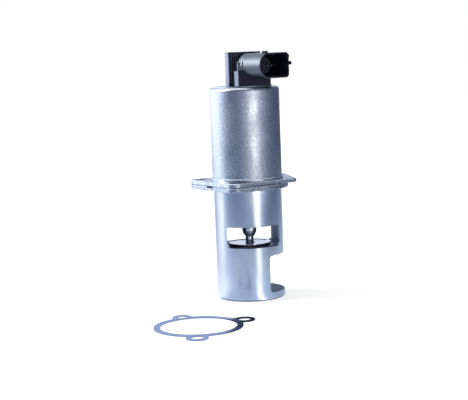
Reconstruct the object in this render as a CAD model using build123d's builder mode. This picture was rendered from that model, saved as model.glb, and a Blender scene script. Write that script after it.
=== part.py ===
from build123d import *
import math
import os

# Exhaust gas recirculation valve, millimetres.
# Origin: centre of the cartridge's closed end face. +Z runs up the valve axis to the connector,
# +X points to the side with the inlet notch, and the outlet window is cut through along Y.

# Fits
press_clearance = 0.02
running_clearance = 0.05
free_clearance = 0.3
edge_break = 0.4

# Cartridge tube
tube_radius = 25.0
tube_wall = 3.3
bore_step = 0.7
floor_thickness = 5.2
end_edge_radius = 1.8
inlet_height = 27.3
inlet_plane = 10.4
inlet_corner_radius = 2.6
seat_shelf = 1.2
window_half_width = 19.4
window_height = 15.3
window_sill_rise = 1.4
window_top_radius = 1.5
window_bottom_radius = 2.4

# Seat, disc and stem
seat_thickness = 4.0
seat_hole_radius = 13.4
seat_chamfer = 0.6
seat_gap = 0.05
disc_radius = 15.6
disc_thickness = 2.9
disc_rim_width = 0.7
disc_rim_height = 0.35
stem_radius = 2.95
stem_collar_radius = 3.9
stem_collar_height = 0.4
stem_head_radius = 4.4
stem_head_height = 1.1
stem_neck_radius = 2.3
stem_end = 2.4
valve_lift = 3.5

# Stem guide and its carrier
nose_radius = 3.2
nose_shoulder_radius = 4.6
nose_shoulder_height = 2.0
nose_height = 7.0
bush_radius = 5.4
bush_collar_radius = 8.0
bush_collar_height = 2.0
carrier_gap = 3.6
carrier_thickness = 5.0
hub_radius = 11.0
hub_height = 8.0
seal_height = 3.5
washer_height = 1.5
hub_to_flange = 10.3

# Flange plates and the bolts that pass through them: angle, distance from the axis, hole radius
lower_plate_thickness = 3.1
flange_gasket_thickness = 0.3
upper_plate_thickness = 2.9
left_bolt = (158.4, 34.6, 4.5)
front_bolt = (243.8, 31.9, 3.8)
rear_bolt = (41.4, 34.6, 4.5)
lobe_margin = 3.5
lower_plate_radius = 29.9
upper_plate_radius = 27.6
spare_corner_angle = -23.0
spare_corner_reach = 34.1
spare_corner_radius = 2.6
boss_height = 2.0
boss_margin = 0.8
spigot_length = 5.0
spigot_wall = 4.0
vent_slot_angle = 201.0
vent_slot_width = 8.0
vent_slot_height = 1.1
vent_slot_depth = 4.0

# Solenoid
can_radius = 25.55
can_wall = 1.6
can_height = 65.4
can_edge_radius = 2.2
rim_width = 5.0
end_plate_thickness = 3.0
end_plate_rise = 0.8
armature_radius = 9.24
armature_clearance = 0.06
armature_length = 30.6
armature_rise = 0.4
magnet_gap = 0.5
sleeve_wall = 0.9
spring_pocket_radius = 6.8
spring_pocket_depth = 8.0
pole_flange_radius = 14.0
pole_flange_height = 3.0
bobbin_wall = 1.4
bobbin_flange = 1.8
bobbin_gap = 0.7
winding_gap = 1.0
spring_wire_radius = 0.55
spring_coil_radius = 5.3
spring_turns = 6.0
clip_radius = 4.2
clip_height = 0.9
clip_groove_depth = 0.4
clip_slot_width = 3.0

# Position sensor inside the head
rod_radius = 1.5
carrier_block_width = 7.4
carrier_block_height = 7.0
carrier_block_front = 3.4
carrier_block_rise = 1.2
rod_grip = 5.0
track_width = 13.0
track_height = 17.0
track_thickness = 1.0
contact_thickness = 0.4
contact_gap = 0.3
contact_reach = 1.5
sensor_wire_radius = 0.3
sensor_coil_radius = 2.3
sensor_turns = 6.0

# Head moulding
head_left = -12.2
head_right = 6.6
head_front = -7.0
head_back = 8.0
head_wall = 2.0
head_corner_radius = 1.0
lid_thickness = 1.2
lid_gap = 0.1
head_spigot_radius = 7.0
head_bore_radius = 2.1
rib_count = 5
rib_pitch = 1.7
rib_groove_width = 0.8
rib_groove_depth = 0.6
rib_first = 1.5
step_left = -7.6
step_right = 16.4
step_front = -19.6
step_height = 11.2
step_corner_radius = 1.2
foot_width = 2.6
foot_depth = 2.6
foot_height = 2.6
base_radius = 10.2
base_height = 2.6
seal_radius = 8.6
seal_section_radius = 0.75
seal_groove_margin = 0.1

# Connector shell on the head, turned away from the head's front face
connector_turn = 34.0
connector_rear = (6.03, -7.24)
connector_mid_height = 14.3
shell_length = 22.0
shell_width = 30.0
shell_height = 18.2
shell_corner_radius = 3.0
shell_wall = 1.6
socket_corner_radius = 4.2
socket_depth = 18.0
mouth_edge = 0.5
insert_width = 24.4
insert_height = 11.2
insert_thickness = 1.6
insert_well_width = 20.4
insert_well_height = 7.2
insert_well_depth = 0.9
neck_width = 18.0
neck_length = 9.0
ramp_width = 3.0
ramp_length = 3.0
ramp_height = 1.3
ramp_offset = 8.2
peg_width = 2.5
peg_length = 4.0
peg_reach = 2.2
peg_rise = 1.25
nub_size = 2.2
nub_height = 7.4
nub_length = 4.0
lug_left = -7.4
lug_width = 3.0
lug_depth = 4.5
lug_height = 6.2
terminal_count = 5
terminal_pitch = 4.0
terminal_width = 0.8
terminal_height = 0.8
terminal_reach = 11.0
terminal_embed = 6.0

# Mounting gasket, lying beside the valve, turned from its fitted place
gasket_thickness = 0.8
gasket_inner_radius = 26.0
gasket_width = 4.0
gasket_ear_margin = 2.8
gasket_blend_radius = 2.0
gasket_centre = (-53.4, -92.4)
gasket_turn = -141.0

# Levels up the axis
notch_top = floor_thickness + inlet_height
seat_bottom = notch_top + seat_shelf
seat_top = seat_bottom + seat_thickness
disc_bottom = seat_top + seat_gap
disc_top = disc_bottom + disc_thickness
window_sill = seat_top + window_sill_rise
window_top = window_sill + window_height
nose_bottom = disc_top + stem_collar_height + valve_lift + free_clearance
carrier_bottom = window_top + carrier_gap
carrier_top = carrier_bottom + carrier_thickness
hub_top = carrier_top + hub_height
flange_face = hub_top + hub_to_flange
lower_plate_top = flange_face + lower_plate_thickness
upper_plate_bottom = lower_plate_top + flange_gasket_thickness
upper_plate_top = upper_plate_bottom + upper_plate_thickness
can_bottom = upper_plate_top + boss_height
can_top = can_bottom + can_height
end_plate_top = can_top + end_plate_rise
end_plate_bottom = can_top - can_wall - end_plate_thickness
armature_bottom = can_bottom + armature_rise
armature_top = armature_bottom + armature_length
pole_bottom = armature_top + valve_lift + magnet_gap
spring_bottom = armature_top - spring_pocket_depth
spring_top = pole_bottom + spring_pocket_depth
stem_top = spring_bottom + stem_end
pole_flange_bottom = end_plate_bottom - pole_flange_height
head_bottom = end_plate_top
shell_top = head_bottom + connector_mid_height + shell_height / 2
lid_bottom = shell_top + lid_gap
head_top = lid_bottom + lid_thickness
carrier_block_bottom = head_bottom + carrier_block_rise
carrier_block_top = carrier_block_bottom + carrier_block_height
rod_top = carrier_block_bottom + rod_grip

# Radii that follow from the fits
outlet_bore = tube_radius - tube_wall
inlet_bore = outlet_bore - bore_step
carrier_bore = outlet_bore + bore_step
stem_bore = stem_radius + running_clearance
sleeve_bore = armature_radius + armature_clearance
sleeve_radius = sleeve_bore + sleeve_wall
bobbin_bore = sleeve_radius + press_clearance
bobbin_core = bobbin_bore + bobbin_wall
can_bore = can_radius - can_wall
rim_opening = can_radius - rim_width
rod_bore = rod_radius + running_clearance

bolts = (left_bolt, front_bolt, rear_bolt)


def ring(inner, outer, bottom, top):
    """Ring round the valve axis, as a half section that is revolved."""
    with BuildSketch(Plane.XZ) as half:
        with Locations(((inner + outer) / 2, (bottom + top) / 2)):
            Rectangle(outer - inner, top - bottom)
    revolve(half.sketch, axis=Axis.Z)


def bore_out(radius, bottom, top):
    """Round hole on the valve axis."""
    with BuildSketch(Plane.XY.offset(bottom)) as hole:
        Circle(radius)
    extrude(hole.sketch, amount=top - bottom, mode=Mode.SUBTRACT)


def save(builder, label):
    builder.part.label = label
    export_step(builder.part, f"parts/{label}.step")


os.makedirs("parts", exist_ok=True)

# Cartridge tube: stepped bore, closed end, window through both walls, notch at one side
with BuildPart() as cartridge_tube:
    with BuildSketch(Plane.XZ):
        with BuildLine():
            Polyline(
                (0, 0),
                (tube_radius, 0),
                (tube_radius, lower_plate_top),
                (carrier_bore, lower_plate_top),
                (carrier_bore, carrier_bottom),
                (outlet_bore, carrier_bottom),
                (outlet_bore, seat_bottom),
                (inlet_bore, seat_bottom),
                (inlet_bore, floor_thickness),
                (0, floor_thickness),
                close=True,
            )
        make_face()
    revolve(axis=Axis.Z)
    fillet(cartridge_tube.edges().filter_by(GeomType.CIRCLE).group_by(Axis.Z)[0], end_edge_radius)
    with BuildSketch(Plane.XZ) as window:
        with Locations((0, (window_sill + window_top) / 2)):
            Rectangle(2 * window_half_width, window_height)
        fillet(window.vertices().group_by(Axis.Y)[0], window_bottom_radius)
        fillet(window.vertices().group_by(Axis.Y)[-1], window_top_radius)
    extrude(amount=2 * tube_radius, both=True, mode=Mode.SUBTRACT)
    with BuildSketch(Plane.XZ) as notch:
        with Locations((inlet_plane, floor_thickness)):
            Rectangle(2 * tube_radius, inlet_height, align=(Align.MIN, Align.MIN))
        fillet(notch.vertices().group_by(Axis.X)[0], inlet_corner_radius)
    extrude(amount=2 * tube_radius, both=True, mode=Mode.SUBTRACT)
save(cartridge_tube, "cartridge_tube")

# Seat ring, pressed on the shelf above the inlet chamber
with BuildPart() as seat_ring:
    ring(seat_hole_radius, outlet_bore - press_clearance, seat_bottom, seat_top)
    inner_edges = seat_ring.edges().filter_by(GeomType.CIRCLE).group_by(SortBy.RADIUS)[0]
    chamfer(inner_edges, seat_chamfer)
save(seat_ring, "seat_ring")

# Poppet disc with a raised rim and a collar round the stem
with BuildPart() as poppet_disc:
    with BuildSketch(Plane.XZ):
        with BuildLine():
            Polyline(
                (stem_radius, disc_bottom),
                (disc_radius - disc_rim_height, disc_bottom),
                (disc_radius, disc_bottom + disc_rim_height),
                (disc_radius, disc_top),
                (disc_radius - disc_rim_width, disc_top),
                (disc_radius - disc_rim_width - disc_rim_height, disc_top - disc_rim_height),
                (stem_collar_radius, disc_top - disc_rim_height),
                (stem_collar_radius, disc_top),
                (stem_radius, disc_top + stem_collar_height),
                close=True,
            )
        make_face()
    revolve(axis=Axis.Z)
save(poppet_disc, "poppet_disc")

# Stem: riveted head under the disc, shank, thinner neck through the armature, groove for the clip
groove_bottom = spring_bottom
groove_top = groove_bottom + clip_height
groove_radius = stem_neck_radius - clip_groove_depth
with BuildPart() as valve_stem:
    with BuildSketch(Plane.XZ):
        with BuildLine():
            Polyline(
                (0, disc_bottom - stem_head_height),
                (stem_radius, disc_bottom - stem_head_height),
                (stem_head_radius, disc_bottom),
                (stem_radius, disc_bottom),
                (stem_radius, armature_bottom),
                (stem_neck_radius, armature_bottom),
                (stem_neck_radius, groove_bottom),
                (groove_radius, groove_bottom),
                (groove_radius, groove_top),
                (stem_neck_radius, groove_top),
                (stem_neck_radius, stem_top),
                (0, stem_top),
                close=True,
            )
        make_face()
    revolve(axis=Axis.Z)
save(valve_stem, "valve_stem")

# Guide bush with its domed nose in the outlet chamber and a collar on the carrier
with BuildPart() as guide_bush:
    with BuildSketch(Plane.XZ):
        with BuildLine():
            nose_arc = ThreePointArc(
                (nose_radius, nose_bottom),
                (nose_shoulder_radius, nose_bottom + nose_shoulder_height),
                (bush_radius, nose_bottom + nose_height),
            )
            Polyline(
                nose_arc @ 1,
                (bush_radius, carrier_top),
                (bush_collar_radius, carrier_top),
                (bush_collar_radius, carrier_top + bush_collar_height),
                (stem_bore, carrier_top + bush_collar_height),
                (stem_bore, nose_bottom),
                nose_arc @ 0,
            )
        make_face()
    revolve(axis=Axis.Z)
save(guide_bush, "guide_bush")

# Carrier: disc on the tube's upper shelf, with a hub that holds bush, seal and washer
with BuildPart() as bush_carrier:
    ring(bush_radius + press_clearance, carrier_bore - press_clearance, carrier_bottom, carrier_top)
    ring(bush_collar_radius + press_clearance, hub_radius, carrier_top, hub_top)
    chamfer(bush_carrier.edges().filter_by(GeomType.CIRCLE).group_by(Axis.Z)[-1], edge_break)
save(bush_carrier, "bush_carrier")

seal_bottom = carrier_top + bush_collar_height
seal_top = seal_bottom + seal_height
with BuildPart() as stem_seal:
    ring(stem_bore, bush_collar_radius, seal_bottom, seal_top)
save(stem_seal, "stem_seal")

with BuildPart() as seal_washer:
    ring(stem_radius + free_clearance, bush_collar_radius, seal_top, seal_top + washer_height)
save(seal_washer, "seal_washer")


def bolt_circles(margin, turn=0.0, mode=Mode.ADD):
    """Circle round each bolt's axis, larger than its hole by the margin."""
    for angle, reach, hole in bolts:
        with PolarLocations(reach, 1, start_angle=angle + turn):
            Circle(hole + margin, mode=mode)


# Lower flange, pressed round the tube's open end, with a vent slot in its upper edge
with BuildPart() as lower_flange:
    with BuildSketch(Plane.XY.offset(flange_face)):
        Circle(lower_plate_radius)
        bolt_circles(lobe_margin)
        make_hull()
        bolt_circles(0, mode=Mode.SUBTRACT)
        Circle(tube_radius + press_clearance, mode=Mode.SUBTRACT)
    extrude(amount=lower_plate_thickness)
    for plate_face in lower_flange.faces().filter_by(Axis.Z):
        chamfer(plate_face.outer_wire().edges(), edge_break)
    slot_reach = left_bolt[1] * math.cos(math.radians((front_bolt[0] - left_bolt[0]) / 2))
    with BuildSketch(Plane.XY.offset(lower_plate_top - vent_slot_height)):
        with PolarLocations(slot_reach + left_bolt[2] + lobe_margin, 1, start_angle=vent_slot_angle):
            Rectangle(2 * vent_slot_depth, vent_slot_width)
    extrude(amount=vent_slot_height, mode=Mode.SUBTRACT)
save(lower_flange, "lower_flange")

with BuildPart() as flange_gasket:
    with BuildSketch(Plane.XY.offset(lower_plate_top)):
        Circle(lower_plate_radius)
        bolt_circles(lobe_margin)
        make_hull()
        offset(amount=-edge_break)
        bolt_circles(0, mode=Mode.SUBTRACT)
        Circle(carrier_bore, mode=Mode.SUBTRACT)
    extrude(amount=flange_gasket_thickness)
save(flange_gasket, "flange_gasket")

# Upper flange: base plate of the solenoid with a spare corner, a boss under the can and a spigot in the tube
with BuildPart() as upper_flange:
    with BuildSketch(Plane.XY.offset(upper_plate_bottom)):
        Circle(upper_plate_radius)
        bolt_circles(lobe_margin)
        with PolarLocations(spare_corner_reach, 1, start_angle=spare_corner_angle):
            Circle(spare_corner_radius)
        make_hull()
        bolt_circles(0, mode=Mode.SUBTRACT)
    extrude(amount=upper_plate_thickness)
    for plate_face in upper_flange.faces().filter_by(Axis.Z):
        chamfer(plate_face.outer_wire().edges(), edge_break)
    spigot_radius = carrier_bore - press_clearance
    ring(spigot_radius - spigot_wall, spigot_radius, upper_plate_bottom - spigot_length, upper_plate_bottom)
    with BuildSketch(Plane.XY.offset(upper_plate_top)):
        Circle(can_radius + boss_margin)
    extrude(amount=boss_height)
    chamfer(upper_flange.faces().sort_by(Axis.Z)[-1].outer_wire().edges(), edge_break)
    bore_out(sleeve_bore, upper_plate_bottom, can_bottom)
save(upper_flange, "upper_flange")

# Can: drawn steel tube on the base plate, its top edge rolled in over the end plate
with BuildPart() as solenoid_can:
    ring(can_bore, can_radius, can_bottom, can_top)
    ring(rim_opening, can_bore, can_top - can_wall, can_top)
    top_edges = solenoid_can.edges().filter_by(GeomType.CIRCLE).group_by(Axis.Z)[-1]
    fillet(top_edges.sort_by(SortBy.RADIUS)[-1], can_edge_radius)
save(solenoid_can, "solenoid_can")

# End plate: under the rolled rim, with a raised step and a groove for the head's seal
with BuildPart() as end_plate:
    ring(
        head_spigot_radius + press_clearance,
        can_bore - press_clearance,
        end_plate_bottom,
        can_top - can_wall,
    )
    ring(
        head_spigot_radius + press_clearance,
        rim_opening - press_clearance,
        can_top - can_wall,
        end_plate_top,
    )
    groove_half = seal_section_radius + seal_groove_margin
    with BuildSketch(Plane.XY.offset(end_plate_top)):
        Circle(seal_radius + groove_half)
        Circle(seal_radius - groove_half, mode=Mode.SUBTRACT)
    extrude(amount=-2 * seal_section_radius, mode=Mode.SUBTRACT)
save(end_plate, "end_plate")

with BuildPart() as head_seal:
    with BuildSketch(Plane.XZ):
        with Locations((seal_radius, end_plate_top - seal_section_radius)):
            Circle(seal_section_radius)
    revolve(axis=Axis.Z)
save(head_seal, "head_seal")

# Pole piece: fixed core, hung under the end plate, with a pocket for the return spring
with BuildPart() as pole_piece:
    ring(rod_bore, sleeve_bore - press_clearance, pole_bottom, end_plate_bottom)
    ring(sleeve_bore - press_clearance, pole_flange_radius, pole_flange_bottom, end_plate_bottom)
    bore_out(spring_pocket_radius, pole_bottom, spring_top)
save(pole_piece, "pole_piece")

with BuildPart() as armature_sleeve:
    ring(sleeve_bore, sleeve_radius, can_bottom, pole_flange_bottom)
save(armature_sleeve, "armature_sleeve")

# Coil: bobbin round the sleeve, and the winding between its flanges
bobbin_flange_radius = can_bore - bobbin_gap
with BuildPart() as coil_bobbin:
    ring(bobbin_bore, bobbin_core, can_bottom, pole_flange_bottom)
    ring(bobbin_core, bobbin_flange_radius, can_bottom, can_bottom + bobbin_flange)
    ring(bobbin_core, bobbin_flange_radius, pole_flange_bottom - bobbin_flange, pole_flange_bottom)
save(coil_bobbin, "coil_bobbin")

with BuildPart() as coil_winding:
    ring(
        bobbin_core,
        bobbin_flange_radius - winding_gap,
        can_bottom + bobbin_flange,
        pole_flange_bottom - bobbin_flange,
    )
    outer_edges = coil_winding.edges().filter_by(GeomType.CIRCLE).group_by(SortBy.RADIUS)[-1]
    fillet(outer_edges, winding_gap)
save(coil_winding, "coil_winding")

# Armature with the spring's pocket, and the clip that keeps it on the stem's neck
with BuildPart() as armature:
    ring(stem_neck_radius + press_clearance, armature_radius, armature_bottom, armature_top)
    bore_out(spring_pocket_radius, spring_bottom, armature_top)
    outer_edges = armature.edges().filter_by(GeomType.CIRCLE).group_by(SortBy.RADIUS)[-1]
    chamfer(outer_edges, edge_break)
save(armature, "armature")

with BuildPart() as stem_clip:
    with BuildSketch(Plane.XY.offset(groove_bottom)):
        Circle(clip_radius)
        Circle(groove_radius + press_clearance, mode=Mode.SUBTRACT)
        with Locations((clip_radius, 0)):
            Rectangle(2 * clip_radius, clip_slot_width, mode=Mode.SUBTRACT)
    extrude(amount=clip_height - press_clearance)
save(stem_clip, "stem_clip")

# Return spring between the armature's pocket and the pole piece's pocket
with BuildPart() as return_spring:
    spring_length = spring_top - spring_bottom - 2 * spring_wire_radius
    with BuildLine() as return_path:
        Helix(
            pitch=spring_length / spring_turns,
            height=spring_length,
            radius=spring_coil_radius,
            center=(0, 0, spring_bottom + spring_wire_radius),
        )
    with BuildSketch(Plane(origin=return_path.line @ 0, z_dir=return_path.line % 0)):
        Circle(spring_wire_radius)
    sweep(is_frenet=True)
save(return_spring, "return_spring")

# Sensor rod on the stem's end, and the block that it carries in the head
with BuildPart() as sensor_rod:
    with BuildSketch(Plane.XY.offset(stem_top)):
        Circle(rod_radius)
    extrude(amount=rod_top - stem_top)
save(sensor_rod, "sensor_rod")

cavity_left = head_left + head_wall
cavity_right = head_right - head_wall
cavity_front = head_front + head_wall
cavity_back = head_back - head_wall
track_front = cavity_back - track_thickness
block_back = track_front - contact_reach

with BuildPart() as wiper_carrier:
    with BuildSketch(Plane.XY.offset(carrier_block_bottom)):
        with Locations((0, (block_back - carrier_block_front) / 2)):
            Rectangle(carrier_block_width, block_back + carrier_block_front)
        Circle(rod_radius + press_clearance, mode=Mode.SUBTRACT)
    extrude(amount=rod_grip)
    with BuildSketch(Plane.XY.offset(rod_top)):
        with Locations((0, (block_back - carrier_block_front) / 2)):
            Rectangle(carrier_block_width, block_back + carrier_block_front)
    extrude(amount=carrier_block_top - rod_top)
    fillet(wiper_carrier.edges().filter_by(Axis.Z).filter_by(GeomType.LINE), sensor_wire_radius)
save(wiper_carrier, "wiper_carrier")

# Wiper: plate on the block with a bent finger that reaches for the track
with BuildPart() as wiper_contact:
    with BuildSketch(Plane.YZ):
        with BuildLine():
            Polyline(
                (block_back, carrier_block_bottom + contact_reach),
                (block_back + contact_thickness, carrier_block_bottom + contact_reach),
                (block_back + contact_thickness, rod_top - contact_reach),
                (track_front - contact_gap, rod_top),
                (track_front - contact_gap, carrier_block_top - contact_thickness),
                (block_back, rod_top - contact_thickness),
                close=True,
            )
        make_face()
    extrude(amount=carrier_block_width / 4, both=True)
save(wiper_contact, "wiper_contact")

with BuildPart() as sensor_track:
    track_middle = (head_bottom + lid_bottom) / 2
    with BuildSketch(Plane.XZ.offset(-track_front)):
        with Locations(((cavity_left + cavity_right) / 2, track_middle)):
            Rectangle(track_width, track_height)
    extrude(amount=-track_thickness)
save(sensor_track, "sensor_track")

with BuildPart() as sensor_spring:
    sensor_spring_length = lid_bottom - carrier_block_top - 2 * sensor_wire_radius
    with BuildLine() as sensor_path:
        Helix(
            pitch=sensor_spring_length / sensor_turns,
            height=sensor_spring_length,
            radius=sensor_coil_radius,
            center=(0, 0, carrier_block_top + sensor_wire_radius),
        )
    with BuildSketch(Plane(origin=sensor_path.line @ 0, z_dir=sensor_path.line % 0)):
        Circle(sensor_wire_radius)
    sweep(is_frenet=True)
save(sensor_spring, "sensor_spring")

# Frame of the connector shell: x across the mouth, y up, z out of the mouth
turn = math.radians(connector_turn)
connector_plane = Plane(
    origin=(connector_rear[0], connector_rear[1], head_bottom + connector_mid_height),
    x_dir=(math.cos(turn), math.sin(turn), 0),
    z_dir=(math.sin(turn), -math.cos(turn), 0),
)


def shell_section(inset, corner_radius):
    """Outline of the connector: half round at the near end, square with round corners at the far end."""
    with BuildSketch(connector_plane.offset(shell_length)) as section:
        Rectangle(shell_width - 2 * inset, shell_height - 2 * inset)
        fillet(section.vertices().group_by(Axis.X)[0], shell_height / 2 - inset - press_clearance)
        fillet(section.vertices().group_by(Axis.X)[-1], corner_radius)
    return section.sketch


terminal_root = shell_length - socket_depth - terminal_embed
terminal_length = terminal_embed + terminal_reach

with BuildPart() as connector_terminals:
    with BuildSketch(connector_plane.offset(terminal_root)):
        with GridLocations(terminal_pitch, 0, terminal_count, 1):
            Rectangle(terminal_width, terminal_height)
    extrude(amount=terminal_length)
save(connector_terminals, "connector_terminals")

# Insert at the socket's floor: oval plate with a shallow well, the terminals pass through it
with BuildPart() as terminal_insert:
    socket_floor = shell_length - socket_depth
    with BuildSketch(connector_plane.offset(socket_floor)):
        SlotOverall(insert_width, insert_height)
    extrude(amount=insert_thickness)
    with BuildSketch(connector_plane.offset(socket_floor + insert_thickness)):
        SlotOverall(insert_well_width, insert_well_height)
    extrude(amount=-insert_well_depth, mode=Mode.SUBTRACT)
    with BuildSketch(connector_plane.offset(socket_floor)):
        with GridLocations(terminal_pitch, 0, terminal_count, 1):
            Rectangle(terminal_width, terminal_height)
    extrude(amount=insert_thickness, mode=Mode.SUBTRACT)
save(terminal_insert, "terminal_insert")

# Head: tall block over the sensor, lower step in front of it, connector shell on a neck
with BuildPart() as sensor_housing:
    with BuildSketch(Plane.XY.offset(head_bottom)) as tall_block:
        with Locations(((head_left + head_right) / 2, (head_front + head_back) / 2)):
            RectangleRounded(head_right - head_left, head_back - head_front, head_corner_radius)
    extrude(amount=lid_bottom - head_bottom)
    with BuildSketch(Plane.XY.offset(head_bottom)) as front_step:
        with Locations((step_left, step_front)):
            Rectangle(step_right - step_left, head_back - step_front, align=(Align.MIN, Align.MIN))
        fillet(front_step.vertices().group_by(Axis.Y)[0], step_corner_radius)
    extrude(amount=step_height)
    with BuildSketch(Plane.XY.offset(head_bottom)):
        Circle(base_radius)
    extrude(amount=base_height)
    with BuildSketch(Plane.XY.offset(head_bottom)):
        with Locations((step_left - foot_width, head_front - foot_depth)):
            Rectangle(foot_width + head_wall, foot_depth + head_wall, align=(Align.MIN, Align.MIN))
    extrude(amount=foot_height)
    with BuildSketch(Plane.XY.offset(head_bottom + step_height)) as lug:
        with Locations((lug_left + lug_width / 2, step_front + shell_wall + lug_depth / 2)):
            RectangleRounded(lug_width, lug_depth, lug_width / 2 - press_clearance)
    extrude(amount=lug_height)
    extrude(shell_section(0, shell_corner_radius), amount=-shell_length)
    mouth_face = sensor_housing.faces().sort_by(Axis(connector_plane.origin, connector_plane.z_dir))[-1]
    chamfer(mouth_face.edges(), mouth_edge)
    with BuildSketch(connector_plane):
        RectangleRounded(neck_width, shell_height - 2 * shell_wall, shell_corner_radius)
    extrude(amount=-neck_length)
    with BuildSketch(connector_plane.offset(shell_length)):
        with Locations((-ramp_offset, shell_height / 2)):
            Rectangle(ramp_width, 2 * ramp_height)
    extrude(amount=-ramp_length)
    with BuildSketch(connector_plane.offset(shell_length)):
        with Locations((shell_width / 2, peg_rise)):
            Rectangle(2 * peg_reach, peg_width)
    extrude(amount=-peg_length)
    with BuildSketch(connector_plane.offset(shell_length)):
        with Locations((shell_width / 2, nub_height)):
            Rectangle(nub_size, nub_size, align=(Align.MAX, Align.MAX))
    extrude(amount=-nub_length)
    with BuildSketch(Plane.XY.offset(head_bottom)):
        Circle(head_spigot_radius)
    extrude(amount=end_plate_bottom - head_bottom)
    with BuildSketch(Plane.XY.offset(head_bottom + head_wall / 2)):
        with Locations(((cavity_left + cavity_right) / 2, (cavity_front + cavity_back) / 2)):
            Rectangle(cavity_right - cavity_left, cavity_back - cavity_front)
    extrude(amount=head_top - head_bottom, mode=Mode.SUBTRACT)
    bore_out(head_bore_radius, end_plate_bottom, head_top)
    extrude(shell_section(shell_wall, socket_corner_radius), amount=-socket_depth, mode=Mode.SUBTRACT)
    with BuildSketch(connector_plane.offset(terminal_root)):
        with GridLocations(terminal_pitch, 0, terminal_count, 1):
            Rectangle(terminal_width, terminal_height)
    extrude(amount=terminal_length, mode=Mode.SUBTRACT)
    with BuildSketch(Plane.XY.offset(head_bottom + foot_height)):
        for rib in range(rib_count):
            with Locations((head_left + rib_first + rib * rib_pitch, head_front)):
                Rectangle(rib_groove_width, 2 * rib_groove_depth)
    extrude(amount=head_top - head_bottom, mode=Mode.SUBTRACT)
save(sensor_housing, "sensor_housing")

with BuildPart() as sensor_lid:
    with BuildSketch(Plane.XY.offset(lid_bottom)):
        with Locations(((head_left + head_right) / 2, (head_front + head_back) / 2)):
            RectangleRounded(head_right - head_left, head_back - head_front, head_corner_radius)
    extrude(amount=lid_thickness)
    chamfer(sensor_lid.edges().group_by(Axis.Z)[-1], edge_break)
save(sensor_lid, "sensor_lid")

# Mounting gasket: sheet-metal ring with three ears, lying flat beside the closed end
with BuildPart() as mounting_gasket:
    with BuildSketch(Plane.XY.offset(0)) as gasket_outline:
        with Locations(gasket_centre):
            Circle(gasket_inner_radius + gasket_width)
            bolt_circles(gasket_ear_margin, gasket_turn)
            fillet(gasket_outline.vertices(), gasket_blend_radius)
            bolt_circles(0, gasket_turn, Mode.SUBTRACT)
            Circle(gasket_inner_radius, mode=Mode.SUBTRACT)
    extrude(amount=gasket_thickness)
save(mounting_gasket, "mounting_gasket")
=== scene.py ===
import math

import bmesh
import bpy
from mathutils import Matrix, Vector


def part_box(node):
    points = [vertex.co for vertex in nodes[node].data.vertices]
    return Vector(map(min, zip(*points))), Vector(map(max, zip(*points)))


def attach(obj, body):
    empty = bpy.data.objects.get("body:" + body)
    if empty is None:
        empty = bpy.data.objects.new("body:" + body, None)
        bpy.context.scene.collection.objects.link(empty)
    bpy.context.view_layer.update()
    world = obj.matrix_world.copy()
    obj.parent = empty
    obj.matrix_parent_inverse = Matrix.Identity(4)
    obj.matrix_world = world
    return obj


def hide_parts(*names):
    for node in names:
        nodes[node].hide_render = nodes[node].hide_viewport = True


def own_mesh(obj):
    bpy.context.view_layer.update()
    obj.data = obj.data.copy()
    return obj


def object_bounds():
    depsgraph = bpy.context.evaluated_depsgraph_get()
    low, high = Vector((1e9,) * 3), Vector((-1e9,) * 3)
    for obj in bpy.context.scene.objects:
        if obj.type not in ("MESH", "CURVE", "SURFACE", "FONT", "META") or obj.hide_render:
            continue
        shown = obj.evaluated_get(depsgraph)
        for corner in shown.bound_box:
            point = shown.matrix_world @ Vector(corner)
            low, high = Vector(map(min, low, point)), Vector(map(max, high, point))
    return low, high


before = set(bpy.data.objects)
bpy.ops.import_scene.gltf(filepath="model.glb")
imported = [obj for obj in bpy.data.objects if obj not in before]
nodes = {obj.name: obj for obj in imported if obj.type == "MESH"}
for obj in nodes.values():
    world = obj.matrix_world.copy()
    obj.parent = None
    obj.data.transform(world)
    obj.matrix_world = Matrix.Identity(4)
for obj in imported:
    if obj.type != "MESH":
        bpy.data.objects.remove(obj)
cad_low, cad_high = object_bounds()

# Camera, as the photograph was taken: place in metres, angles in degrees
CAMERA_PLACE = Vector((-0.16319, -0.90233, 0.18167))
CAMERA_HEADING = 9.6
CAMERA_PITCH = 6.817
CAMERA_ROLL = -2.2
CAMERA_LENS = 96.15
SENSOR_WIDTH = 36.0
CAMERA_CLIP = (0.01, 50.0)

# Sizes that materials follow, read from the solids
TUBE_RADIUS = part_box("cartridge_tube")[1][0]
CAN_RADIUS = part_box("solenoid_can")[1][0]
gasket_low, gasket_high = (Vector(corner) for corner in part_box("mounting_gasket"))
lid_low, lid_high = (Vector(corner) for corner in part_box("sensor_lid"))
head_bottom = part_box("end_plate")[1][2]

# Materials: relief heights and depths in metres, angles in degrees
TURNED_STRETCH = (40, 40, 5200)
TURNED_RELIEF = 0.000012
TUBE_SKIN = (0.0004, 0.0001)
STROKE_SLANTS = (42.0, -48.0)
STROKE_SCALE = 1450
STROKE_STRETCH = (1, 0.42, 1)
SHEET_SHEEN = (0.66, 0.72, 0.84)
# Near-black tint for a painted dark reflection along the stem's edges
STEM_PAINTED_DARK_EDGE = (0.05, 0.05, 0.06)
# Where the gasket's painted dark reflection lies: the turn of its direction, and its reach from the
# sheet's middle
DARK_REFLECTION_TURN = 9.6
DARK_REFLECTION_REACH = (0.007, 0.018)
MOULDED_RELIEF = 0.000012
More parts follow.
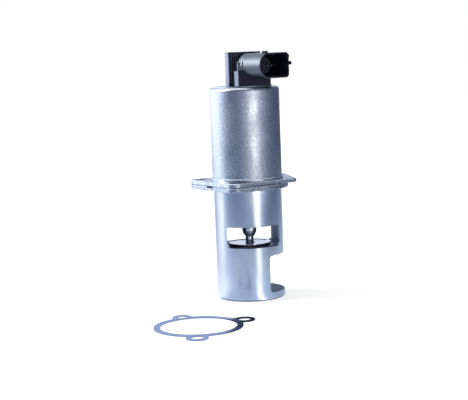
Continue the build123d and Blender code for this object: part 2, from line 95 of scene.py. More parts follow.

# Head moulding: its own pieces over the solid, and the barrel that its gloss and painted sheen follow
BLOCK_RIGHT = 0.0118
STEP_HEIGHT = 0.0112
SIDE_LAP = 0.0011
PROUD = 0.00002
RIB_PITCH = 0.0017
RIB_RADIUS = 0.00042
RIB_FIRST = 0.00065
RIB_COUNT = 6
RIB_FOOT = 0.0026
CHEEK_FRONT = -0.01945
CHEEK_BEND = -0.01327
CHEEK_BACK = -0.0069
CHEEK_LEFT = -0.0090
CHEEK_CORNER = -0.00735
CHEEK_RIGHT = -0.0069
LID_GAP = 0.0001
BAY_EDGE = 0.0006
LID_EDGE = 0.0004
CHEEK_EDGE = 0.0003
ROOT_EDGE = 0.0004
ARC_STEPS = 10
BARREL_RADIUS = 0.0091
BARREL_TURN = math.radians(34.0)
STEP_FRONT = -0.0196
LUG_BACK = -0.0100
LUG_RIGHT = -0.0042
LUG_CLEARANCE = 0.0002
FACE_TOLERANCE = 0.00005
WALL_TOLERANCE = 0.0003
PLASTIC_IOR = 1.8
PLASTIC_GLOSS = 0.95
PLASTIC_DARK = (0.006, 0.008, 0.018)
PLASTIC_LIGHT = (0.012, 0.015, 0.029)
# Reflection tints of the head's plastic: near black for painted shade on the block, pale blue for painted
# sheen on the barrel, lug, cheek, root and ribs
BLOCK_PAINTED_SHADE = (0.05, 0.06, 0.09)
BARREL_PAINTED_SHEEN = (0.76, 0.87, 1.0)
ROOT_RADIUS = 0.0097
ROOT_INSIDE = 0.0070
ROOT_LIFT = (math.radians(-19.0), math.radians(21.0))
ROOT_REACH = (-0.0010, 0.0044)
BARREL_POINT = (0.001139, -0.010538, head_bottom + 0.0143)

# Floor and world: distances on the floor in metres, heights as the Z of a direction
FLOOR_SIZE = 6.0
FLOOR_GAP = 0.0002
FLOOR_COLOR = (0.80, 0.80, 0.80)
FLOOR_GLOW = (0.60, 1.0)
GLOW_REACH = (0.25, 1.20)
CLOSE_REACH = (0.06, 0.17)
PALE_REACH = (0.08, 0.50)
PALE_SHARE = 0.62
PALE_COLOR = (0.92, 1.02, 1.16)
MID_REACH = (0.82, 1.04)
FAR_REACH = (1.10, 2.10)
LOW_WALL_FOOT = (-0.036, -0.018)
WALL_FOOT = (0.03, 0.09)
OVERHEAD_START = (0.45, 0.85)
OVERHEAD_COLOR = (0.85, 0.88, 0.94)
DOME_COLOR = (0.38, 0.38, 0.38)

# Studio seen by gloss, by azimuth in degrees: 0 from the front (-Y), 90 from +X.
# On the floor the foot's colours come first, then the near, middle and far ones, by distance.
# The far ones go on below the horizon, where the low wall stands, with the wall above it.
WALL_STOPS = (
    (-180, (0.82, 0.90, 1.04)),
    (-165, (0.92, 1.00, 1.14)),
    (-150, (1.30, 1.40, 1.56)),
    (-128, (1.55, 1.65, 1.80)),
    (-100, (1.30, 1.40, 1.56)),
    (-80, (0.40, 0.46, 0.60)),
    (-60, (0.08, 0.10, 0.16)),
    (100, (0.08, 0.10, 0.16)),
    (135, (0.16, 0.20, 0.30)),
    (160, (0.44, 0.50, 0.62)),
    (170, (0.72, 0.80, 0.94)),
    (180, (0.82, 0.90, 1.04)),
)
LOW_STOPS = (
    (-180, (1.00, 1.20, 1.65)),
    (-172, (1.75, 2.12, 2.95)),
    (-150, (3.30, 3.80, 4.80)),
    (-128, (3.00, 3.45, 4.40)),
    (-102, (2.30, 2.60, 3.20)),
    (-88, (0.80, 0.96, 1.34)),
    (-76, (0.30, 0.40, 0.60)),
    (-60, (0.05, 0.07, 0.12)),
    (100, (0.05, 0.07, 0.12)),
    (135, (0.12, 0.16, 0.26)),
    (168, (0.50, 0.60, 0.80)),
    (180, (1.00, 1.20, 1.60)),
)
NEAR_STOPS = (
    (-180, (0.75, 0.85, 1.00)),
    (-150, (0.50, 0.58, 0.74)),
    (-134, (0.95, 1.00, 1.08)),
    (-108, (1.45, 1.48, 1.52)),
    (-96, (0.66, 0.76, 0.94)),
    (-80, (0.38, 0.48, 0.66)),
    (-55, (0.27, 0.35, 0.50)),
    (-20, (0.24, 0.32, 0.47)),
    (8, (0.18, 0.25, 0.38)),
    (14.5, (2.05, 2.00, 1.90)),
    (23, (2.05, 2.00, 1.90)),
    (29, (0.34, 0.44, 0.62)),
    (46, (0.13, 0.18, 0.28)),
    (62, (0.08, 0.11, 0.19)),
    (100, (0.18, 0.24, 0.35)),
    (125, (0.30, 0.36, 0.50)),
    (165, (0.70, 0.80, 0.95)),
    (180, (0.75, 0.85, 1.00)),
)
FOOT_STOPS = (
    (-180, (0.75, 0.85, 1.00)),
    (-112, (1.25, 1.32, 1.42)),
    (-92, (1.36, 1.42, 1.50)),
    (-78, (0.95, 1.06, 1.22)),
    (-64, (0.62, 0.74, 0.94)),
    (-34, (0.58, 0.69, 0.88)),
    (-18, (0.54, 0.64, 0.82)),
    (2, (0.66, 0.78, 0.98)),
    (9, (1.80, 1.84, 1.86)),
    (16, (1.80, 1.84, 1.86)),
    (23, (0.74, 0.88, 1.08)),
    (32, (0.60, 0.72, 0.92)),
    (60, (0.42, 0.50, 0.66)),
    (125, (0.40, 0.48, 0.64)),
    (180, (0.75, 0.85, 1.00)),
)
MID_STOPS = (
    (-180, (0.55, 0.62, 0.74)),
    (-155, (0.66, 0.74, 0.88)),
    (-138, (1.38, 1.45, 1.54)),
    (-116, (1.50, 1.56, 1.66)),
    (-102, (0.52, 0.60, 0.76)),
    (-86, (0.08, 0.11, 0.18)),
    (-60, (0.10, 0.13, 0.21)),
    (-35, (0.26, 0.31, 0.44)),
    (-18, (0.74, 0.84, 1.04)),
    (2, (2.30, 2.36, 2.46)),
    (11, (6.00, 5.90, 5.75)),
    (26, (6.40, 6.25, 6.05)),
    (36, (2.50, 2.66, 2.96)),
    (50, (1.25, 1.40, 1.70)),
    (68, (0.54, 0.64, 0.84)),
    (86, (0.20, 0.25, 0.36)),
    (128, (0.03, 0.04, 0.08)),
    (160, (0.24, 0.29, 0.38)),
    (180, (0.55, 0.62, 0.74)),
)
FAR_STOPS = (
    (-180, (0.70, 0.76, 0.88)),
    (-155, (0.74, 0.81, 0.93)),
    (-138, (1.38, 1.44, 1.52)),
    (-116, (1.26, 1.32, 1.42)),
    (-102, (0.46, 0.54, 0.70)),
    (-86, (0.16, 0.20, 0.30)),
    (-60, (0.26, 0.32, 0.46)),
    (-35, (0.46, 0.53, 0.70)),
    (-18, (0.94, 1.02, 1.20)),
    (2, (2.10, 2.12, 2.16)),
    (11, (3.30, 3.22, 3.08)),
    (26, (3.20, 3.14, 3.02)),
    (36, (1.40, 1.50, 1.68)),
    (50, (0.92, 1.02, 1.22)),
    (68, (0.46, 0.54, 0.70)),
    (86, (0.25, 0.30, 0.42)),
    (128, (0.06, 0.08, 0.12)),
    (160, (0.30, 0.35, 0.45)),
    (180, (0.70, 0.76, 0.88)),
)


def make_camera():
    turn = math.radians(CAMERA_HEADING)
    pitch = math.radians(CAMERA_PITCH)
    roll = math.radians(CAMERA_ROLL)
    across_floor = math.cos(pitch)
    ahead = Vector((math.sin(turn) * across_floor, math.cos(turn) * across_floor, -math.sin(pitch)))
    level_right = Vector((math.cos(turn), -math.sin(turn), 0))
    level_up = level_right.cross(ahead)
    right = level_right * math.cos(roll) + level_up * math.sin(roll)
    up = level_up * math.cos(roll) - level_right * math.sin(roll)
    data = bpy.data.cameras.new("camera")
    data.lens = CAMERA_LENS
    data.sensor_width = SENSOR_WIDTH
    data.clip_start, data.clip_end = CAMERA_CLIP
    camera = bpy.data.objects.new("camera", data)
    facing = Matrix((right, up, -ahead)).transposed().to_4x4()
    camera.matrix_world = Matrix.Translation(CAMERA_PLACE) @ facing
    bpy.context.scene.collection.objects.link(camera)
    bpy.context.scene.camera = camera


class Wiring:
    """Short calls for the nodes of a tree, on sockets and on plain numbers, vectors and colours."""

    def __init__(self, tree):
        self.tree = tree

    def put(self, socket, value):
        """Links a socket to another one, or sets it to a plain value."""
        if isinstance(value, bpy.types.NodeSocket):
            self.tree.links.new(value, socket)
        elif socket.type == "RGBA":
            socket.default_value = (*value, 1)
        else:
            socket.default_value = value

    def add(self, kind, inputs=None, **settings):
        """A new node with its settings, and with its inputs by name or number."""
        node = self.tree.nodes.new(kind)
        for name, value in settings.items():
            setattr(node, name, value)
        for key, value in (inputs or {}).items():
            self.put(node.inputs[key], value)
        return node

    def math(self, operation, *values):
        return self.add("ShaderNodeMath", dict(enumerate(values)), operation=operation).outputs["Value"]

    def vector(self, operation, *values):
        """Vector math; a distance, length or dot product comes out as a number."""
        node = self.add("ShaderNodeVectorMath", dict(enumerate(values)), operation=operation)
        return node.outputs["Value" if operation in ("DISTANCE", "DOT_PRODUCT", "LENGTH") else "Vector"]

    def axes(self, vector):
        """The parts of a vector, called X, Y and Z."""
        return self.add("ShaderNodeSeparateXYZ", {"Vector": vector}).outputs

    def mapped(self, vector, turn=0.0, scale=(1, 1, 1)):
        """A vector multiplied along X, Y and Z, then turned round Z by an angle in degrees."""
        inputs = {"Vector": vector, "Rotation": (0, 0, math.radians(turn)), "Scale": scale}
        return self.add("ShaderNodeMapping", inputs).outputs["Vector"]

    def span(self, source, low, high, start=0.0, end=1.0, kind="LINEAR"):
        """Maps start..end of a source to low..high."""
        inputs = {"Value": source, "From Min": start, "From Max": end, "To Min": low, "To Max": high}
        return self.add("ShaderNodeMapRange", inputs, interpolation_type=kind).outputs["Result"]

    def smooth(self, source, start, end, low=0.0, high=1.0):
        """Maps start..end of a source to low..high, easing in and out."""
        return self.span(source, low, high, start, end, "SMOOTHSTEP")

    def blend(self, factor, first, second):
        """Mixes two colours."""
        mix = self.add("ShaderNodeMix", {"Factor": factor}, data_type="RGBA")
        sockets = [socket for socket in mix.inputs if socket.type == "RGBA"]
        for socket, color in zip(sockets, (first, second)):
            self.put(socket, color)
        return [socket for socket in mix.outputs if socket.type == "RGBA"][0]

    def ramp(self, source, stops):
        node = self.add("ShaderNodeValToRGB", {"Fac": source})
        elements = node.color_ramp.elements
        while len(elements) < len(stops):
            elements.new(0.5)
        for element, (position, color) in zip(elements, stops):
            element.position = position
            element.color = (*color, 1)
        return node.outputs["Color"]

    def azimuth(self, vector):
        """Azimuth of a vector round the valve's axis, in radians."""
        axes = self.axes(vector)
        return self.math("ARCTAN2", axes["X"], self.math("MULTIPLY", axes["Y"], -1.0))

    def azimuth_ramp(self, vector, stops):
        """Colour by azimuth of a vector round the valve's axis; its stops are in degrees."""
        around = self.span(self.azimuth(vector), 0.0, 1.0, -math.pi, math.pi)
        return self.ramp(around, [((angle + 180) / 360, color) for angle, color in stops])


class Shader(Wiring):
    """A material with its Principled shader."""

    def __init__(self, name, metallic=0.0, roughness=0.5, color=(0.8, 0.8, 0.8)):
        self.material = bpy.data.materials.new(name)
        self.material.use_nodes = True
        super().__init__(self.material.node_tree)
        self.surface = self.tree.nodes["Principled BSDF"]
        self.feed("Metallic", metallic)
        self.feed("Roughness", roughness)
        self.feed("Base Color", color)
        self.place = self.add("ShaderNodeTexCoord").outputs["Object"]

    def feed(self, socket, value):
        self.put(self.surface.inputs[socket], value)

    def noise(self, scale, detail=3.0, roughness=0.5, stretch=(1, 1, 1), place=None):
        """Noise in object coordinates multiplied along X, Y and Z, or in coordinates of its own."""
        if place is None:
            place = self.mapped(self.place, scale=stretch)
        inputs = {"Vector": place, "Scale": scale, "Detail": detail, "Roughness": roughness}
        return self.add("ShaderNodeTexNoise", inputs).outputs["Fac"]

    def unrolled(self, radius, slant, stretch):
        """The wall round the valve's axis laid flat, turned by a slant in degrees and then stretched."""
        along = self.math("MULTIPLY", self.azimuth(self.place), radius)
        inputs = {"X": along, "Y": self.axes(self.place)["Z"]}
        flat = self.add("ShaderNodeCombineXYZ", inputs).outputs["Vector"]
        return self.mapped(self.mapped(flat, turn=slant), scale=stretch)

    def axis_distance(self):
        """Distance from the valve's axis, in metres."""
        return self.vector("LENGTH", self.mapped(self.place, scale=(1, 1, 0)))

    def rings(self, scale, distortion):
        inputs = {"Vector": self.place, "Scale": scale, "Distortion": distortion}
        node = self.add("ShaderNodeTexWave", inputs, wave_type="RINGS", rings_direction="Z")
        return node.outputs["Fac"]

    def bump(self, source, distance):
        inputs = {"Height": source, "Strength": 1.0, "Distance": distance}
        return self.add("ShaderNodeBump", inputs).outputs["Normal"]


def turned_steel(name, dark, light, roughness):
    """Smooth turned metal: fine rings round the axis, cloudy stain, slightly uneven gloss."""
    shader = Shader(name, metallic=1.0)
    cloud = shader.noise(60, detail=4)
    lines = shader.noise(1, detail=2, stretch=TURNED_STRETCH)
    shader.feed("Base Color", shader.ramp(cloud, ((0.3, dark), (0.7, light))))
    shader.feed("Roughness", shader.span(lines, roughness - 0.05, roughness + 0.05, 0.3, 0.7))
    shader.feed("Normal", shader.bump(lines, TURNED_RELIEF))
    return shader.material


def tube_steel(name, radius, bore_painted_shade):
    """Turned tube: bright outside; dull on the bore and on the cut faces inside the radius, with painted
    shade darkening their colour and their reflection's tint.
    """
    shader = Shader(name, metallic=1.0)
    cloud = shader.noise(60, detail=4)
    lines = shader.noise(1, detail=2, stretch=TURNED_STRETCH)
    outside = shader.ramp(cloud, ((0.3, (0.58, 0.64, 0.74)), (0.7, (0.66, 0.71, 0.79))))
    deep, shallow = TUBE_SKIN
    outer = shader.span(shader.axis_distance(), 0.0, 1.0, radius - deep, radius - shallow)
    # Painted shade: the bore and the cut faces inside the radius get a dark colour and, below, a darker
    # reflection tint.
    shader.feed("Base Color", shader.blend(outer, bore_painted_shade, outside))
    shader.feed("Roughness", shader.span(outer, 0.34, 0.20))
    shader.feed("Specular Tint", shader.blend(outer, (0.62, 0.66, 0.74), (1.0, 1.0, 1.0)))
    shader.feed("Normal", shader.bump(lines, TURNED_RELIEF))
    return shader.material


def brushed_can(name, dark, light, roughness):
    """Can's wall, rubbed crosswise: two slanted sets of short strokes over a cloudy stain."""
    shader = Shader(name, metallic=1.0)
    rising, falling = (
        shader.noise(STROKE_SCALE, roughness=0.6, place=shader.unrolled(CAN_RADIUS, slant, STROKE_STRETCH))
        for slant in STROKE_SLANTS
    )
    strokes = shader.math("MULTIPLY", shader.math("ADD", rising, falling), 0.5)
    cloud = shader.noise(75, detail=3)
    shader.feed("Base Color", shader.ramp(strokes, ((0.40, dark), (0.60, light))))
    shader.feed("Roughness", shader.span(cloud, roughness - 0.05, roughness + 0.07, 0.35, 0.65))
    shader.feed("Normal", shader.bump(strokes, 0.00007))
    return shader.material


def blasted_steel(name, dark, light, roughness):
    """Fine blasted steel: dense grain over a faint cloud."""
    shader = Shader(name, metallic=1.0)
    grain = shader.noise(1300, detail=3, roughness=0.7)
    cloud = shader.noise(90, detail=3)
    shader.feed("Base Color", shader.ramp(grain, ((0.32, dark), (0.68, light))))
    shader.feed("Roughness", shader.span(cloud, roughness - 0.04, roughness + 0.05, 0.3, 0.7))
    shader.feed("Normal", shader.bump(grain, 0.00006))
    return shader.material


def rolled_sheet(name, light, dark):
    """Thin gasket sheet: bluish and satin, with a painted dark reflection towards the camera's right."""
    shader = Shader(name, metallic=1.0)
    turn = math.radians(DARK_REFLECTION_TURN)
    rightwards = (math.cos(turn), -math.sin(turn), 0)
    across = shader.vector("DOT_PRODUCT", shader.place, rightwards)
    centre = ((gasket_low + gasket_high) / 2).dot(Vector(rightwards))
    start, end = (centre + reach for reach in DARK_REFLECTION_REACH)
    # Painted dark reflection: the sheet's colour goes over to a dark one towards the camera's right.
    dark_reflection = shader.span(across, 0.0, 1.0, start, end)
    cloud = shader.noise(110, detail=3)
    sheet = shader.ramp(cloud, ((0.3, light[0]), (0.7, light[1])))
    shader.feed("Base Color", shader.blend(dark_reflection, sheet, dark))
    shader.feed("Roughness", shader.span(cloud, 0.28, 0.38, 0.3, 0.7))
    shader.feed("Specular Tint", SHEET_SHEEN)
    return shader.material


def stem_steel(name, color, roughness):
    """Ground stem: mirror-like, with faint grinding marks round it, and a painted dark reflection at its
    grazing edges.
    """
    shader = Shader(name, metallic=1.0, color=color)
    marks = shader.noise(1, detail=1, stretch=(60, 60, 3000))
    shader.feed("Roughness", shader.span(marks, roughness - 0.02, roughness + 0.03, 0.3, 0.7))
    # Painted dark reflection: a near-black tint darkens the stem at its grazing edges.
    shader.feed("Specular Tint", STEM_PAINTED_DARK_EDGE)
    return shader.material


def cast_metal(name, dark, light, roughness):
    """Rough tumbled casting: lumps, pits and bright rubbed spots."""
    shader = Shader(name, metallic=1.0)
    lumps = shader.noise(620, detail=4, roughness=0.6)
    patch = shader.noise(120, detail=3)
    shader.feed("Base Color", shader.ramp(lumps, ((0.36, dark), (0.62, light))))
    shader.feed("Roughness", shader.span(patch, roughness - 0.1, roughness + 0.12, 0.3, 0.7))
    shader.feed("Normal", shader.bump(lumps, 0.0002))
    return shader.material


def polished_steel(name, dark, light, roughness):
    """Polished metal: faint concentric lapping rings."""
    shader = Shader(name, metallic=1.0)
    rings = shader.rings(900, distortion=0.4)
    cloud = shader.noise(150, detail=3)
    shader.feed("Base Color", shader.ramp(cloud, ((0.3, dark), (0.7, light))))
    shader.feed("Roughness", shader.span(cloud, roughness, roughness + 0.08, 0.35, 0.7))
    shader.feed("Normal", shader.bump(rings, 0.000008))
    return shader.material


def moulded_surface(shader, dark, light):
    """Fine spark-eroded grain and a cloudy colour; gives the cloud back, for the sheen."""
    grain = shader.noise(1500, detail=2)
    cloud = shader.noise(70, detail=2)
    shader.feed("Base Color", shader.ramp(cloud, ((0.3, dark), (0.7, light))))
    shader.feed("Normal", shader.bump(grain, MOULDED_RELIEF))
    return cloud


def moulded_plastic(name, dark, light, roughness):
    """Moulded plastic with broad sheen differences."""
    shader = Shader(name)
    cloud = moulded_surface(shader, dark, light)
    shader.feed("Roughness", shader.span(cloud, roughness - 0.05, roughness + 0.08, 0.3, 0.7))
    return shader.material


def head_plastic(name, everywhere):
    """The head's plastic: a pale painted sheen in its reflection everywhere, or on the barrel and its lug
    only, with painted shade darkening the block's reflection.
    """
    shader = Shader(name)
    cloud = moulded_surface(shader, PLASTIC_DARK, PLASTIC_LIGHT)
    shader.feed("IOR", PLASTIC_IOR)
    shader.feed("Specular IOR Level", PLASTIC_GLOSS)
    if everywhere:
        # Painted sheen: the pale reflection tint on every face.
        shader.feed("Specular Tint", BARREL_PAINTED_SHEEN)
        shader.feed("Roughness", shader.span(cloud, 0.30, 0.36, 0.3, 0.7))
    else:
        gloss_and_painted_sheen = barrel_mask(shader)
        # Painted light: a near-black reflection tint on the block is painted shade, and a pale one on the
        # barrel and lug is painted sheen.
        shader.feed("Specular Tint", shader.blend(gloss_and_painted_sheen, BLOCK_PAINTED_SHADE, BARREL_PAINTED_SHEEN))
        shader.feed("Roughness", shader.span(gloss_and_painted_sheen, 0.24, 0.42))
    return shader.material


def barrel_mask(shader):
    """1 on the connector's round barrel and on the lug beside it, 0 on the rest of the head."""
    aside = shader.vector("SUBTRACT", shader.place, BARREL_POINT)
    along = shader.vector("PROJECT", aside, (math.sin(BARREL_TURN), -math.cos(BARREL_TURN), 0))
    off_axis = shader.vector("DISTANCE", aside, along)
    axes = shader.axes(shader.place)
    before_block = shader.math("LESS_THAN", axes["Y"], LUG_BACK)
    on_step_face = shader.math("COMPARE", axes["Y"], STEP_FRONT, FACE_TOLERANCE)
    round_wall = shader.math("COMPARE", off_axis, BARREL_RADIUS, WALL_TOLERANCE)
    barrel = shader.math("MULTIPLY", round_wall, shader.math("SUBTRACT", before_block, on_step_face))
    beside = shader.math("LESS_THAN", axes["X"], LUG_RIGHT)
    above = shader.math("GREATER_THAN", axes["Z"], head_bottom + STEP_HEIGHT + LUG_CLEARANCE)
    lug = shader.math("MULTIPLY", shader.math("MULTIPLY", before_block, beside), above)
    return shader.math("MAXIMUM", barrel, lug)


def wound_copper(name):
    """Enamelled winding: close turns round the axis."""
    shader = Shader(name, metallic=1.0, roughness=0.3)
    turns = shader.noise(1, detail=0, stretch=(4, 4, 1600))
    shader.feed("Base Color", shader.ramp(turns, ((0.35, (0.35, 0.12, 0.05)), (0.65, (0.8, 0.36, 0.18)))))
    shader.feed("Normal", shader.bump(turns, 0.0002))
    return shader.material


def dress(material, *names):
    """Gives CAD nodes a finished material in their own slots."""
    for name in names:
        piece = nodes[name]
        if not piece.data.materials:
            piece.data.materials.append(material)
        for index in range(len(piece.material_slots)):
            piece.material_slots[index].link = "OBJECT"
            piece.material_slots[index].material = material


def dress_nodes():
    # Its last colour is painted shade on the tube's bore.
    dress(tube_steel("turned_tube", TUBE_RADIUS, (0.063, 0.078, 0.115)), "cartridge_tube")
    dress(
        turned_steel("turned_inner", (0.34, 0.36, 0.42), (0.46, 0.49, 0.56), 0.34),
        "bush_carrier",
        "pole_piece",
        "armature",
    )
    dress(turned_steel("dark_seat", (0.36, 0.39, 0.46), (0.52, 0.55, 0.62), 0.36), "seat_ring")
    dress(turned_steel("dark_bush", (0.68, 0.72, 0.80), (0.84, 0.87, 0.92), 0.27), "guide_bush")
    dress(brushed_can("brushed_can", (0.34, 0.38, 0.46), (0.70, 0.73, 0.78), 0.31), "solenoid_can")
    dress(blasted_steel("blasted_plate", (0.30, 0.34, 0.41), (0.52, 0.56, 0.63), 0.36), "end_plate")
    dress(cast_metal("cast_flange", (0.27, 0.31, 0.38), (0.57, 0.61, 0.68), 0.36), "lower_flange")
    dress(cast_metal("plated_flange", (0.38, 0.42, 0.50), (0.64, 0.68, 0.75), 0.32), "upper_flange")
    dress(
        polished_steel("polished_steel", (0.72, 0.76, 0.83), (0.90, 0.92, 0.95), 0.10),
        "poppet_disc",
        "sensor_rod",
    )
    dress(stem_steel("stem_steel", (0.62, 0.64, 0.68), 0.09), "valve_stem")
    dress(head_plastic("head_plastic", everywhere=False), "sensor_housing", "sensor_lid")
    dress(
        moulded_plastic("insert_plastic", (0.10, 0.115, 0.16), (0.17, 0.19, 0.25), 0.4),
        "terminal_insert",
    )
    dress(
        moulded_plastic("inner_plastic", (0.05, 0.05, 0.05), (0.08, 0.08, 0.08), 0.5),
        "coil_bobbin",
        "wiper_carrier",
    )
    dress(
        moulded_plastic("seal_rubber", (0.012, 0.012, 0.012), (0.02, 0.02, 0.02), 0.6),
        "head_seal",
        "stem_seal",
    )
    dress(moulded_plastic("gasket_fibre", (0.16, 0.18, 0.23), (0.26, 0.29, 0.35), 0.55), "flange_gasket")
    dress(wound_copper("wound_copper"), "coil_winding")
    dress(
        turned_steel("brass", (0.55, 0.40, 0.16), (0.78, 0.60, 0.28), 0.25),
        "armature_sleeve",
        "wiper_contact",
    )
    dress(
        turned_steel("spring_wire", (0.28, 0.29, 0.32), (0.42, 0.43, 0.46), 0.3),
        "return_spring",
        "sensor_spring",
        "stem_clip",
        "seal_washer",
    )
    dress(moulded_plastic("track_ceramic", (0.62, 0.60, 0.54), (0.74, 0.72, 0.66), 0.5), "sensor_track")
    dress(polished_steel("pin_tin", (0.55, 0.56, 0.58), (0.74, 0.75, 0.77), 0.2), "connector_terminals")
    # The dark colour is a painted reflection on the sheet's right side.
    dress(
        rolled_sheet("sheet_gasket", ((0.34, 0.42, 0.58), (0.46, 0.54, 0.70)), (0.05, 0.06, 0.10)),
        "mounting_gasket",
    )


def make_floor():
    """Pale floor under the closed end; gloss sees it with the studio's cards on it."""
    bpy.ops.mesh.primitive_plane_add(size=FLOOR_SIZE, location=(0, 0, cad_low.z - FLOOR_GAP))
    floor = bpy.context.object
    floor.name = "floor"
    material = bpy.data.materials.new("floor_white")
    material.use_nodes = True
    wiring = Wiring(material.node_tree)
    wiring.tree.nodes.clear()
    place = wiring.add("ShaderNodeTexCoord").outputs["Object"]
    reach = wiring.vector("LENGTH", place)
    foot_cards, near_cards, middle_cards, far_cards = (
        wiring.azimuth_ramp(place, stops) for stops in (FOOT_STOPS, NEAR_STOPS, MID_STOPS, FAR_STOPS)
    )
    outer_cards = wiring.blend(wiring.smooth(reach, *FAR_REACH), middle_cards, far_cards)
    cards = wiring.blend(wiring.smooth(reach, *MID_REACH), near_cards, outer_cards)
    paled = wiring.blend(wiring.smooth(reach, *PALE_REACH, PALE_SHARE, 0.0), cards, PALE_COLOR)
    studio = wiring.blend(wiring.smooth(reach, *CLOSE_REACH, 1.0, 0.0), paled, foot_cards)
    path = wiring.add("ShaderNodeLightPath").outputs
    glow_level = wiring.smooth(reach, *GLOW_REACH, *FLOOR_GLOW)
    strength = wiring.math("MULTIPLY", path["Is Camera Ray"], glow_level)
    glow = wiring.add("ShaderNodeEmission", {"Strength": strength}).outputs["Emission"]
    matt = wiring.add("ShaderNodeBsdfDiffuse", {"Color": FLOOR_COLOR}).outputs["BSDF"]
    pale = wiring.add("ShaderNodeAddShader", {0: matt, 1: glow}).outputs["Shader"]
    mirrored = wiring.add("ShaderNodeEmission", {"Color": studio}).outputs["Emission"]
    both = wiring.add("ShaderNodeMixShader", {"Fac": path["Is Glossy Ray"], 1: pale, 2: mirrored})
    wiring.add("ShaderNodeOutputMaterial", {"Surface": both.outputs["Shader"]})
    floor.data.materials.append(material)


def make_world():
    """White to the camera, a plain dome to matt faces, and the studio's walls to gloss."""
    world = bpy.data.worlds.new("studio")
    bpy.context.scene.world = world
    world.use_nodes = True
    wiring = Wiring(world.node_tree)
    wiring.tree.nodes.clear()
    direction = wiring.add("ShaderNodeTexCoord").outputs["Generated"]
    height = wiring.axes(direction)["Z"]
    floor_side, low_walls, walls = (
        wiring.azimuth_ramp(direction, stops) for stops in (FAR_STOPS, LOW_STOPS, WALL_STOPS)
    )
    near_horizon = wiring.blend(wiring.smooth(height, *LOW_WALL_FOOT), floor_side, low_walls)
    around = wiring.blend(wiring.smooth(height, *WALL_FOOT), near_horizon, walls)
    sky = wiring.blend(wiring.smooth(height, *OVERHEAD_START), around, OVERHEAD_COLOR)
    path = wiring.add("ShaderNodeLightPath").outputs
    lit = wiring.blend(path["Is Glossy Ray"], DOME_COLOR, sky)
    shown = wiring.blend(path["Is Camera Ray"], lit, (1.0, 1.0, 1.0))
    background = wiring.add("ShaderNodeBackground", {"Color": shown}).outputs["Background"]
    wiring.add("ShaderNodeOutputWorld", {"Surface": background})


def make_spring(node):
    """A copy of a coiled spring, riding on the housing with a mesh of its own, in place of the hidden
    original.
    """
    spring = nodes[node].copy()
    spring.data = nodes[node].data.copy()
    spring.name = node + "_coiled"
    spring.parent = None
    bpy.context.scene.collection.objects.link(spring)
    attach(spring, "housing")
    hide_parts(node)
    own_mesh(spring)


def prism(name, outline, low, high, edge, segments, material, place=None):
    """A solid on the head: an outline in the XY plane between two levels, with its edges eased.

    Where a place is given, the solid is made at the origin and moved there.
    """
    mesh = bmesh.new()
    base = mesh.faces.new([mesh.verts.new((x, y, low)) for x, y in outline])
    grown = bmesh.ops.extrude_face_region(mesh, geom=[base])
    corners = [part for part in grown["geom"] if isinstance(part, bmesh.types.BMVert)]
    bmesh.ops.translate(mesh, verts=corners, vec=(0, 0, high - low))
    bmesh.ops.recalc_face_normals(mesh, faces=mesh.faces)
    if edge:
        bmesh.ops.bevel(
            mesh, geom=mesh.edges[:], offset=edge, segments=segments, profile=0.5, affect="EDGES"
        )
    if place is not None:
        bmesh.ops.transform(mesh, matrix=place, verts=mesh.verts)
    data = bpy.data.meshes.new(name)
    mesh.to_mesh(data)
    mesh.free()
    data.materials.append(material)
    piece = bpy.data.objects.new(name, data)
    bpy.context.scene.collection.objects.link(piece)
    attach(piece, "housing")


def make_barrel_root(material):
    """Rounded boss at the rear end of the connector's barrel, beside its lug, on the barrel's own axis."""
    across = Vector((math.cos(BARREL_TURN), math.sin(BARREL_TURN), 0))
    along = Vector((math.sin(BARREL_TURN), -math.cos(BARREL_TURN), 0))
    turned = Matrix((across, Vector((0, 0, 1)), along)).transposed().to_4x4()
    first, last = ROOT_LIFT
    lifts = [first + (last - first) * step / ARC_STEPS for step in range(ARC_STEPS + 1)]
    outline = [(-ROOT_RADIUS * math.cos(lift), ROOT_RADIUS * math.sin(lift)) for lift in lifts]
    outline += [(-ROOT_INSIDE, outline[-1][1]), (-ROOT_INSIDE, outline[0][1])]
    place = Matrix.Translation(BARREL_POINT) @ turned
    prism("head_barrel_root", outline, *ROOT_REACH, ROOT_EDGE, 2, material, place)


def make_rib(rib, material):
    """Thin round rib on the front of the tall block."""
    middle = lid_low.x + RIB_FIRST + rib * RIB_PITCH
    turns = [math.pi * (1 + step / ARC_STEPS) for step in range(ARC_STEPS + 1)]
    outline = [(middle + RIB_RADIUS * math.cos(a), lid_low.y + RIB_RADIUS * math.sin(a)) for a in turns]
    inside = lid_low.y + RIB_RADIUS
    outline += [(middle + RIB_RADIUS, inside), (middle - RIB_RADIUS, inside)]
    prism("head_rib_%d" % rib, outline, head_bottom + RIB_FOOT, lid_low.z, 0, 1, material)


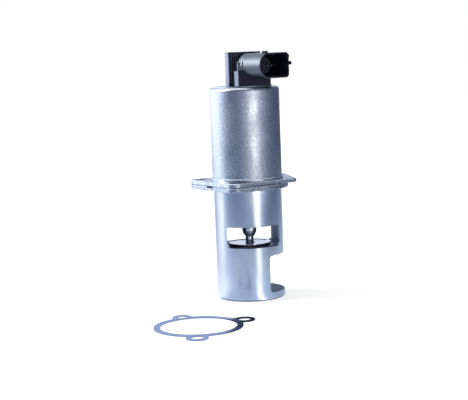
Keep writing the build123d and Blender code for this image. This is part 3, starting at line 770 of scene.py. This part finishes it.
def make_head_pieces():
    """Side bay of the tall block with its lid, slanted cheek of the step, barrel's root and ribs."""
    # Painted light: the bay and lid wear the plastic with painted shade on the block; the cheek, root and
    # ribs wear a copy with painted sheen everywhere.
    satin = nodes["sensor_lid"].material_slots[0].material
    gloss = head_plastic("rib_plastic", everywhere=True)
    left = lid_high.x - SIDE_LAP
    front = lid_low.y - PROUD
    back = lid_high.y + PROUD
    step_top = head_bottom + STEP_HEIGHT
    bay = ((left, front), (BLOCK_RIGHT, front), (BLOCK_RIGHT, back), (left, back))
    prism("head_side_bay", bay, step_top - PROUD, lid_low.z - LID_GAP, BAY_EDGE, 3, satin)
    prism("head_side_lid", bay, lid_low.z, lid_high.z + PROUD, LID_EDGE, 1, satin)
    cheek = (
        (CHEEK_RIGHT, CHEEK_FRONT),
        (CHEEK_CORNER, CHEEK_FRONT),
        (CHEEK_LEFT, CHEEK_BEND),
        (CHEEK_LEFT, CHEEK_BACK),
        (CHEEK_RIGHT, CHEEK_BACK),
    )
    prism("head_step_cheek", cheek, head_bottom, step_top + PROUD, CHEEK_EDGE, 2, gloss)
    make_barrel_root(gloss)
    for rib in range(RIB_COUNT):
        make_rib(rib, gloss)


def area_light(name, place, target, size, power):
    """Rectangular lamp; its size is across and up, in metres."""
    data = bpy.data.lights.new(name, "AREA")
    data.shape = "RECTANGLE"
    data.size = size[0]
    data.size_y = size[1]
    data.energy = power
    light = bpy.data.objects.new(name, data)
    light.location = place
    light.rotation_euler = (Vector(target) - Vector(place)).to_track_quat("-Z", "Y").to_euler()
    bpy.context.scene.collection.objects.link(light)


def make_lights():
    middle = (0, 0, 0.09)
    area_light("top_soft", place=(-0.1, 0.1, 1.3), target=middle, size=(0.9, 0.9), power=3)
    area_light("left_key", place=(-0.86, 0.13, 0.66), target=middle, size=(0.32, 0.75), power=8)


bpy.context.scene.view_settings.view_transform = "Standard"
make_camera()
make_world()
make_floor()
make_lights()
dress_nodes()
make_head_pieces()
for node in ("return_spring", "sensor_spring"):
    make_spring(node)
